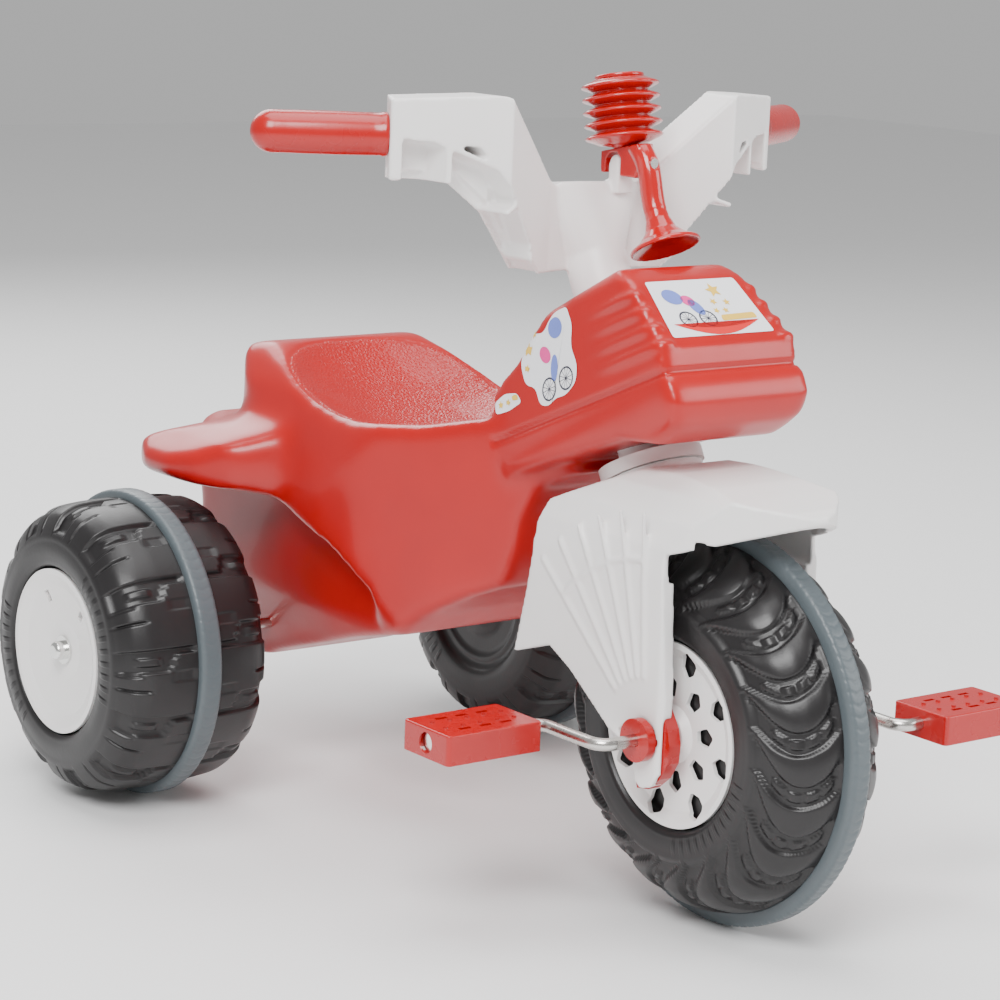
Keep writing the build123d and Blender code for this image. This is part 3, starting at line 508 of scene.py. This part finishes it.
def front_relief(angle, offset, radius):
    """Hooked lens pads with a strip of small raised blocks between each two."""
    x = np.abs(offset)
    u = front_reach(x, radius) / 0.88
    swept = np.radians(5.5 - np.where(u < 0.48, 39, 62) * (u - 0.48) ** 2)
    pitch = 2 * np.pi / FRONT_PADS
    shift = np.where(offset > 0, pitch / 2, 0)
    place = np.mod(angle - swept - shift, pitch) / pitch
    lens = 0.60 * np.sqrt(np.clip(1 - u**3.0, 0, 1)) * (0.85 + 0.15 * smooth_step(u, 0.0, 0.35))
    pad = bank(place, PAD_MIDDLE - lens / 2, PAD_MIDDLE + lens / 2, 0.045)
    crown = PAD_CROWN * np.clip(1 - ((place - PAD_MIDDLE) / (lens / 2 + 1e-6)) ** 2, 0, 1)
    strip = bank(place, 0.08, 0.26, 0.03)
    blocks = sum(bank(u, low, low + 0.13, 0.02) for low in (0.08, 0.26, 0.44, 0.62))
    tread = smooth_step(1 - u, 0.0, 0.05) * smooth_step(x, TREAD_IN, TREAD_IN + 1.5)
    height = -TREAD_DEPTH + pad * (PAD_HEIGHT + crown) + strip * blocks * BLOCK_HEIGHT
    rings = 0.5 * bank(radius, 80.5, 82.0, 0.8) * (u > 1) + 0.6 * bank(radius, 66, 67.5, 0.8)
    dashes = (np.mod(angle * 30 / np.pi, 1) < 0.45) * (np.sin(angle * 2) > 0.3)
    bars = 0.5 * bank(radius, 71, 79, 1.0) * dashes
    return np.where(u < 1, height * tread, 0) + rings + bars * (x > 44)


REAR_LUGS = 13
HOLLOW_DEPTH = 3.4
REAR_OUTLINE = [
    (55, 4.2), (55, 61), (60, 61.5), (66.5, 63.5), (68, 73), (66.5, 83), (64, 91), (57, 101), (46, 106.5),
    (30, 108), (9, 108.5), (-9, 108.5), (-28, 108), (-43, 106.5), (-52, 101), (-58, 91), (-60, 82),
    (-60, 66), (-54, 58), (-54, 28), (-60, 15), (-60, 4.2),
]


def rear_relief(angle, offset, radius):
    """Large plain lugs with stepped hollows between them, and notches round the shoulders."""
    side = np.where(offset > 0, 1.0, -1.0)
    x = np.abs(offset)
    shoulder = np.where(offset > 0, 62.0, 56.0)
    u = np.where(radius > 86, np.clip((x - 9.5) / (shoulder - 9.5), 0, 1.0), 1.3)
    pitch = 2 * np.pi / REAR_LUGS
    place = np.mod(angle * side + 0.25 * pitch * (side < 0), pitch) / pitch
    high = 0.17 + 0.24 * smooth_step(u, 0.28, 0.44)
    hollow = bank(place, 0.08, high, 0.03)
    block = bank(place, 0.20, 0.31, 0.03) * bank(u, 0.56, 0.88, 0.03)
    slot = bank(place, 0.66, 0.70, 0.02) * smooth_step(u, 0.66, 0.72)
    notch = bank(place, 0.40, 0.47, 0.03) * smooth_step(u, 0.80, 0.86)
    step = bank(place, 0.41, 0.56, 0.02) * (1 - smooth_step(u, 0.30, 0.36)) * 0.25
    edge = smooth_step(x, 9.5, 11) * smooth_step(radius, 87, 92)
    cut = np.clip(hollow + 0.7 * slot + 0.6 * notch + step, 0, 1)
    height = -HOLLOW_DEPTH * cut + BLOCK_HEIGHT * block * hollow
    ring = 0.6 * bank(radius, 63, 65.5, 1.0) + 0.6 * bank(radius, 84, 86, 1.0)
    dashes = (np.mod(angle * 26 / np.pi, 1) < 0.42) * (np.cos(angle * 2 + 0.6) > 0.25)
    spoke = 0.7 * bank(radius, 70, 79, 1.2) * dashes
    hub = -1.4 * bank(radius, 33, 49, 2.0) * (offset < 0)
    hub = hub + 1.2 * bank(radius, 51, 54, 1.5) * (offset < 0)
    return np.where(u <= 1.0, height * edge, 0) + ring * (x > 56) + spoke * (x > 58) + hub


BAND_HEIGHT = 10.5
BAND_ROUND = [(-1, 0), (-1, 0.55), (-0.94, 0.82), (-0.8, 0.96), (-0.55, 1.0), (-0.3, 0.97), (0, 1.0),
              (0.3, 0.97), (0.55, 1.0), (0.8, 0.96), (0.94, 0.82), (1, 0.55), (1, 0)]


def band_mesh(name, node, teeth, bite):
    """The grey grip band: rounded edges, two shallow rings and a faint row of tread marks."""
    low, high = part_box(node)
    centre = (low + high) / 2
    half = (high.x - low.x) / 2 / MM
    outer = (high.z - low.z) / 2 / MM
    seat = outer - BAND_HEIGHT
    outline = [(a * half, seat + b * (outer - seat)) for a, b in BAND_ROUND]

    def marks(angle, offset, radius):
        wave = np.sin(angle * teeth + 3.0 * np.abs(offset) / half)
        on_top = smooth_step(radius, outer - 3, outer - 0.5)
        return -bite * smooth_step(wave, 0.55, 0.95) * on_top

    return tyre_mesh(name, outline, centre, 1.0, marks, 27, 720)


def build_wheels():
    """Treads and grip bands of all three wheels."""
    tyre = tyre_mesh("front_tread", FRONT_OUTLINE, FRONT_AXLE, 1.0, front_relief, 150, 1100)
    wear(tyre, black)
    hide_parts("front_tyre")
    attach(tyre, "front_wheel")
    band = band_mesh("front_grip_band", "front_band", 110, 0.5)
    wear(band, grey)
    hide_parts("front_band")
    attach(band, "front_wheel")
    for hand, outward in (("right", -1.0), ("left", 1.0)):
        tyre = tyre_mesh(f"rear_tread_{hand}", REAR_OUTLINE, REAR_HUB[hand], outward, rear_relief, 130, 900)
        wear(tyre, black)
        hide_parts(f"rear_tyre_{hand}")
        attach(tyre, f"rear_wheel_{hand}")
        band = band_mesh(f"rear_grip_band_{hand}", f"rear_band_{hand}", 90, 0.25)
        wear(band, grey)
        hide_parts(f"rear_band_{hand}")
        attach(band, f"rear_wheel_{hand}")


# ---- grips --------------------------------------------------------------------------------------
GRIP_R = 14.5
GRIP_LENGTH = 76.0
GRIP_SWEEP = math.radians(30)
GRIP_LIP = 5.4
GRIP_WAIST_R = 13.9


def build_grip(hand, side):
    """A moulded grip: soft lip at its root, a faint waist and a domed end."""
    low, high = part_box(f"grip_{hand}")
    along = Vector((side * math.cos(GRIP_SWEEP), math.sin(GRIP_SWEEP), 0))
    tip_x = (high.x if side > 0 else -low.x) - GRIP_R * MM
    tip = Vector((side * tip_x, high.y - GRIP_R * MM, (low.z + high.z) / 2))
    root = tip - along * GRIP_LENGTH * MM
    outline = [(10.6, 0.4), (13.2, 0.0), (14.4, 0.8), (14.5, 2.0), (14.4, 4.0),
               (GRIP_WAIST_R, GRIP_LIP)]
    for k in range(1, 12):
        height = GRIP_LIP + (GRIP_LENGTH - GRIP_LIP) * k / 12
        outline.append((GRIP_WAIST_R + 0.35 * math.sin(math.pi * k / 12), height))
    for k in range(0, 17):
        turn = math.pi / 2 * k / 17
        outline.append((14.1 * math.cos(turn), GRIP_LENGTH + GRIP_R * math.sin(turn)))
    grip = turned(f"grip_cover_{hand}", outline, root, along, 72)
    wear(grip, part_red)
    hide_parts(f"grip_{hand}")
    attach(grip, "steering")


# ---- horn ---------------------------------------------------------------------------------------
FOLDS = 5
FOLD_PITCH = 8.8
FOLD_OUT = 27.0
FOLD_IN = 19.0
BULB_LOW = 3.0
FOLD_STEPS = 16
CAP_HALF = 1.5


def build_bellows():
    """The folded bellows and the lid on top."""
    low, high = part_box("bellows_cap")
    cap_middle = (low + high) / 2
    top_height = BULB_LOW + FOLDS * FOLD_PITCH
    base = cap_middle - HORN_AXIS * ((top_height + CAP_HALF) * MM)
    outline = [(7.8, 0.0), (8.2, 0.6), (12.5, 1.6), (17.6, 2.6)]
    for k in range(FOLDS * FOLD_STEPS + 1):
        turn = k / FOLD_STEPS
        edge = 1 - abs(2 * (turn % 1) - 1)
        swell = FOLD_IN + (FOLD_OUT - FOLD_IN) * (0.5 - 0.5 * math.cos(math.pi * edge)) ** 0.8
        if k in (0, FOLDS * FOLD_STEPS):
            swell = FOLD_IN - 0.6
        outline.append((swell, BULB_LOW + turn * FOLD_PITCH))
    outline.append((FOLD_IN - 2.5, top_height))
    bulb = turned("horn_bulb", outline, base, HORN_AXIS, 96)
    wear(bulb, horn_red)
    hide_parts("horn_bellows")
    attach(bulb, "steering")
    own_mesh(bulb)

    lid = turned("horn_lid", [
        (15.5, 0.0), (16.6, 0.2), (17.0, 0.8), (17.0, 2.2), (16.6, 2.8), (15.6, 3.0), (14.6, 2.8),
        (13.9, 2.3), (13.0, 2.0), (6.0, 2.3), (1.0, 2.5),
    ], cap_middle - HORN_AXIS * CAP_HALF * MM, HORN_AXIS, 72)
    wear(lid, horn_red)
    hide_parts("bellows_cap")
    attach(lid, "horn_cap")


# ---- stickers -----------------------------------------------------------------------------------
def star(radius, x, y, turn, points=5, inner=0.45):
    """A star with its first point turned from straight up by turn degrees."""
    corners = []
    for k in range(points * 2):
        r = radius if k % 2 == 0 else radius * inner
        angle = math.radians(90 + turn) + math.pi * k / points
        corners.append((x + r * math.cos(angle), y + r * math.sin(angle)))
    return corners


def blob(rx, ry, x, y, tilt, count=28):
    """A tilted ellipse."""
    c, d = math.cos(math.radians(tilt)), math.sin(math.radians(tilt))
    ring = []
    for k in range(count):
        angle = 2 * math.pi * k / count
        a, b = rx * math.cos(angle), ry * math.sin(angle)
        ring.append((x + a * c - b * d, y + a * d + b * c))
    return ring


def swoosh(width, height, x=0.0, y=0.0, count=14):
    """A crescent that is thickest in its middle."""
    lower = [(x - width / 2 + width * k / count, y - height * math.sin(math.pi * k / count))
             for k in range(count)]
    upper = [(x + width / 2 - width * k / count, y - 0.45 * height * math.sin(math.pi * k / count))
             for k in range(count)]
    return lower + upper


HOOP_WIDTH = 1.1
SPOKE_HALF = 0.16


def hoop(radius, x, y, thick, count=28):
    """A thin ring, as a list of the short four-sided outlines that it is made of."""
    def spot(r, k):
        angle = 2 * math.pi * k / count
        return (x + r * math.cos(angle), y + r * math.sin(angle))

    inner = radius - thick
    return [[spot(radius, k), spot(radius, k + 1), spot(inner, k + 1), spot(inner, k)] for k in range(count)]


def wheel_sketch(radius, x, y, spokes=6):
    """A plain wheel: a ring with thin spokes."""
    parts = hoop(radius, x, y, HOOP_WIDTH)
    for k in range(spokes):
        angle = math.pi * k / spokes
        along = (math.cos(angle) * (radius - 0.8), math.sin(angle) * (radius - 0.8))
        across = (-math.sin(angle) * SPOKE_HALF, math.cos(angle) * SPOKE_HALF)
        parts.append([
            (x - along[0] - across[0], y - along[1] - across[1]),
            (x + along[0] - across[0], y + along[1] - across[1]),
            (x + along[0] + across[0], y + along[1] + across[1]),
            (x - along[0] + across[0], y - along[1] + across[1]),
        ])
    return parts


def rounded(corners, radius, steps=5):
    """The outline with each corner replaced by a short curve."""
    ring = []
    count = len(corners)
    for k in range(count):
        here, before, after = (Vector(corners[i % count]) for i in (k, k - 1, k + 1))
        one = here + (before - here).normalized() * radius
        two = here + (after - here).normalized() * radius
        for step in range(steps + 1):
            t = step / steps
            ring.append(tuple(one * (1 - t) ** 2 + here * 2 * t * (1 - t) + two * t**2))
    return ring


STICKER_CELL = 2.2 * MM
STICKER_REACH = 30 * MM
STICKER_FACING = 0.55
PANEL_LIFT = 0.3
PRINT_LIFT = 0.55


def sticker(name, surface, origin, right, up, shape, lift, material):
    """A thin printed shape laid on a surface: one outline or several, in mm on the plane (right, up)."""
    right, up = Vector(right).normalized(), Vector(up).normalized()
    out = right.cross(up)
    bm = bmesh.new()
    outlines = shape if isinstance(shape[0], list) else [shape]
    for outline in outlines:
        bm.faces.new([bm.verts.new(origin + right * (a * MM) + up * (b * MM)) for a, b in outline])
    bmesh.ops.triangulate(bm, faces=bm.faces)
    for _ in range(7):
        long_edges = [e for e in bm.edges if e.calc_length() > STICKER_CELL]
        if not long_edges:
            break
        bmesh.ops.subdivide_edges(bm, edges=long_edges, cuts=1)
        bmesh.ops.triangulate(bm, faces=bm.faces)
    missed = []
    for vert in bm.verts:
        start = vert.co + out * STICKER_REACH
        hit, normal = surface.ray_cast(start, -out, 2 * STICKER_REACH)[:2]
        if hit is None or normal.dot(out) < STICKER_FACING:
            missed.append(vert)
        else:
            vert.co = hit + normal * (lift * MM)
    bmesh.ops.delete(bm, geom=missed, context="VERTS")
    for face in bm.faces:
        face.smooth = True
        if face.normal.dot(out) < 0:
            face.normal_flip()
    mesh = bpy.data.meshes.new(name)
    bm.to_mesh(mesh)
    bm.free()
    obj = make_object(name, mesh)
    wear(obj, material)
    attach(obj, "frame")


def tank_point(x, v, s):
    """A point x mm to the left, v mm behind the steering axis and s mm along it."""
    return FRONT_AXLE + STEER_BACK * (v * MM) + STEER_AXIS * (s * MM) + Vector((x * MM, 0, 0))


def build_stickers(shell):
    """The front label with its print, and the labels on both sides of the tank."""
    bm = bmesh.new()
    bm.from_mesh(shell.data)
    surface = BVHTree.FromBMesh(bm)
    bm.free()
    low, high = tank_point(0, -103, 238), tank_point(0, -88, 285)
    middle = (low + high) / 2
    up = high - low
    tall = up.length / MM
    right = Vector((1, 0, 0))
    panel = rounded([(-44, -tall / 2), (44, -tall / 2), (38.5, tall / 2), (-38.5, tall / 2)], 2.5)
    sticker("front_label", surface, middle, right, up, panel, PANEL_LIFT, vinyl_white)
    art = (
        ("front_swoosh", swoosh(74, 11, 0, -13.5), vinyl_red),
        ("front_wheel_a", wheel_sketch(7.0, -22, -10), vinyl_dark),
        ("front_wheel_b", wheel_sketch(7.0, -5, -10), vinyl_dark),
        ("front_ball_a", blob(8, 6.5, -24, 10, tilt=-20), vinyl_blue),
        ("front_ball_b", blob(4.5, 7.5, -9, 0, tilt=25), vinyl_blue),
        ("front_ball_c", blob(5.5, 4.5, -13, 6, tilt=-30), vinyl_pink),
        ("front_star_a", star(6.5, 14, 14, 10), vinyl_gold),
        ("front_star_b", star(3.2, 8, 4, 25), vinyl_gold),
        ("front_star_c", star(3.2, 19, 3, -8), vinyl_gold),
        ("front_star_d", star(2.8, 6, -4, 40), vinyl_gold),
        ("front_star_e", star(2.8, 14, -4, 5), vinyl_gold),
        ("front_stripe", rounded([(6, -13), (37, -12), (36, -7), (7, -8)], 1.8), vinyl_gold),
    )
    for name, outline, material in art:
        sticker(name, surface, middle, right, up, outline, PRINT_LIFT, material)
    for hand, side in (("right", -1), ("left", 1)):
        side_stickers(surface, hand, side)


SIDE_LABEL = [(32, 20), (20, 26), (5, 21), (-8, 31), (-24, 30), (-28, 16), (-23, 2), (-27, -12), (-23, -23),
              (-10, -28), (2, -26), (10, -29), (20, -25), (22, -12), (33, -6), (35, 8)]


def side_stickers(surface, hand, side):
    centre = tank_point(side * 56, 8, 264)
    right = STEER_BACK * side
    up = STEER_AXIS

    def flipped(outline):
        """The left side's outline, or its mirror image drawn the same way round."""
        ring = [(a * side, b) for a, b in outline]
        return ring if side > 0 else ring[::-1]

    art = (
        ("label", rounded(SIDE_LABEL, 5.0), PANEL_LIFT, vinyl_white),
        ("tail_label", rounded([(40, -16), (44, -8), (58, -4), (72, -6), (70, -15), (56, -17)], 3.5),
         PANEL_LIFT, vinyl_white),
        ("tail_star_a", star(3.0, 64, -10, 12), PRINT_LIFT, vinyl_gold),
        ("tail_star_b", star(2.6, 55, -11, 30), PRINT_LIFT, vinyl_gold),
        ("tail_stripe", rounded([(43, -13), (50, -11.5), (50, -8), (44, -9)], 1.5), PRINT_LIFT, vinyl_gold),
        ("ball_a", blob(8, 7, -9, 20, tilt=30), PRINT_LIFT, vinyl_blue),
        ("ball_b", blob(7, 5, 6, 6, tilt=50), PRINT_LIFT, vinyl_pink),
        ("ball_c", blob(4, 9, -2, -6, tilt=15), PRINT_LIFT, vinyl_blue),
        ("wheel_a", wheel_sketch(8, -13, -17), PRINT_LIFT, vinyl_dark),
        ("wheel_b", wheel_sketch(8, 7, -18), PRINT_LIFT, vinyl_dark),
        ("star_a", star(5, 24, 16, 15), PRINT_LIFT, vinyl_gold),
        ("star_b", star(3, 16, 24, -10), PRINT_LIFT, vinyl_gold),
        ("star_c", star(3, 28, 4, 30), PRINT_LIFT, vinyl_gold),
    )
    for name, shape, lift, material in art:
        outlines = shape if isinstance(shape[0], list) else [shape]
        outlines = [flipped(outline) for outline in outlines]
        sticker(f"side_{name}_{hand}", surface, centre, right, up, outlines, lift, material)


# ---- build --------------------------------------------------------------------------------------
shell = build_body()
build_stickers(shell)
soft_piece("fork", "fork_shell", 1.5, 3, white, "steering")
soft_piece("handlebar", "bar_shell", 1.5, 3, white, "steering")
soft_piece("horn_trumpet", "trumpet", 0.7, 4, horn_red, "steering")
build_wheels()
for hand, side in (("right", -1), ("left", 1)):
    build_grip(hand, side)
build_bellows()

for node, material in (
    ("lower_bush", white), ("upper_bush", white), ("front_disc_right", white), ("front_disc_left", white),
    ("rear_disc_right", white), ("rear_disc_left", white), ("axle_bracket_right", part_red),
    ("axle_bracket_left", part_red), ("pedal_right", part_red), ("pedal_left", part_red),
    ("crank", steel), ("rear_axle", steel), ("drive_pin", steel), ("stem_bolt", bright),
    ("stem_nut", bright), ("pedal_nut_right", bright), ("pedal_nut_left", bright),
    ("rear_washer_right", bright), ("rear_washer_left", bright), ("axle_cap_right", bright),
    ("axle_cap_left", bright), ("horn_screw", bright), ("horn_reed", clear),
):
    repaint(node, material)


# ---- floor, light and camera --------------------------------------------------------------------
FLOOR_REACH = 6.0
FLOOR_DROP = 0.5 * MM
SKY_STRENGTH = 0.5
LIGHT_TARGET = (0, 0, 0.28)
LIGHTS = (
    # name, place, edge in metres, watts
    ("key", (-1.6, -1.4, 2.2), 1.3, 90),
    ("fill", (1.8, -1.8, 1.2), 1.5, 34),
    ("back", (0.4, 2.2, 1.8), 1.6, 44),
    ("top", (0, 0, 2.6), 1.8, 46),
)
CAMERA_PLACE = Vector((-1.2675, -1.6064, 0.6592))
CAMERA_TURN = math.radians(-37.64)
CAMERA_RISE = math.radians(11.38)
CAMERA_ROLL = math.radians(2.33)
SENSOR_WIDTH = 36.0
LENS = 104.98


def build_stage():
    mesh = bpy.data.meshes.new("floor")
    reach = FLOOR_REACH
    mesh.from_pydata([(-reach, -reach, 0), (reach, -reach, 0), (reach, reach, 0), (-reach, reach, 0)],
                     [], [(0, 1, 2, 3)])
    floor = make_object("floor", mesh)
    floor.location.z = -FLOOR_DROP
    floor.data.materials.append(finish("floor_paper", (0.90, 0.90, 0.90), 0.7, mottle=0.01, relief=0.02))
    world = bpy.context.scene.world or bpy.data.worlds.new("studio")
    bpy.context.scene.world = world
    world.use_nodes = True
    sky = world.node_tree.nodes["Background"]
    sky.inputs["Color"].default_value = (1.0, 1.0, 1.0, 1)
    sky.inputs["Strength"].default_value = SKY_STRENGTH


def soft_light(name, place, target, size, power):
    light = bpy.data.lights.new(name, "AREA")
    light.shape = "RECTANGLE"
    light.size = size
    light.size_y = size
    light.energy = power
    obj = bpy.data.objects.new(name, light)
    bpy.context.scene.collection.objects.link(obj)
    obj.location = place
    obj.rotation_euler = (Vector(target) - Vector(place)).to_track_quat("-Z", "Y").to_euler()


def build_camera():
    """The camera at the reference view's place, looking along its own -Z."""
    turn, rise, roll = CAMERA_TURN, CAMERA_RISE, CAMERA_ROLL
    back = Vector((math.sin(turn) * math.cos(rise), -math.cos(turn) * math.cos(rise), math.sin(rise)))
    level = Vector((math.cos(turn), math.sin(turn), 0))
    upright = back.cross(level)
    right = level * math.cos(roll) + upright * math.sin(roll)
    up = upright * math.cos(roll) - level * math.sin(roll)
    place = CAMERA_PLACE
    data = bpy.data.cameras.new("camera")
    data.sensor_width = SENSOR_WIDTH
    data.lens = LENS
    data.clip_end = 50.0
    camera = bpy.data.objects.new("camera", data)
    bpy.context.scene.collection.objects.link(camera)
    camera.matrix_world = Matrix((
        (right.x, up.x, back.x, place.x),
        (right.y, up.y, back.y, place.y),
        (right.z, up.z, back.z, place.z),
        (0, 0, 0, 1),
    ))
    bpy.context.scene.camera = camera


build_stage()
for name, place, size, power in LIGHTS:
    soft_light(name, place, LIGHT_TARGET, size, power)
build_camera()
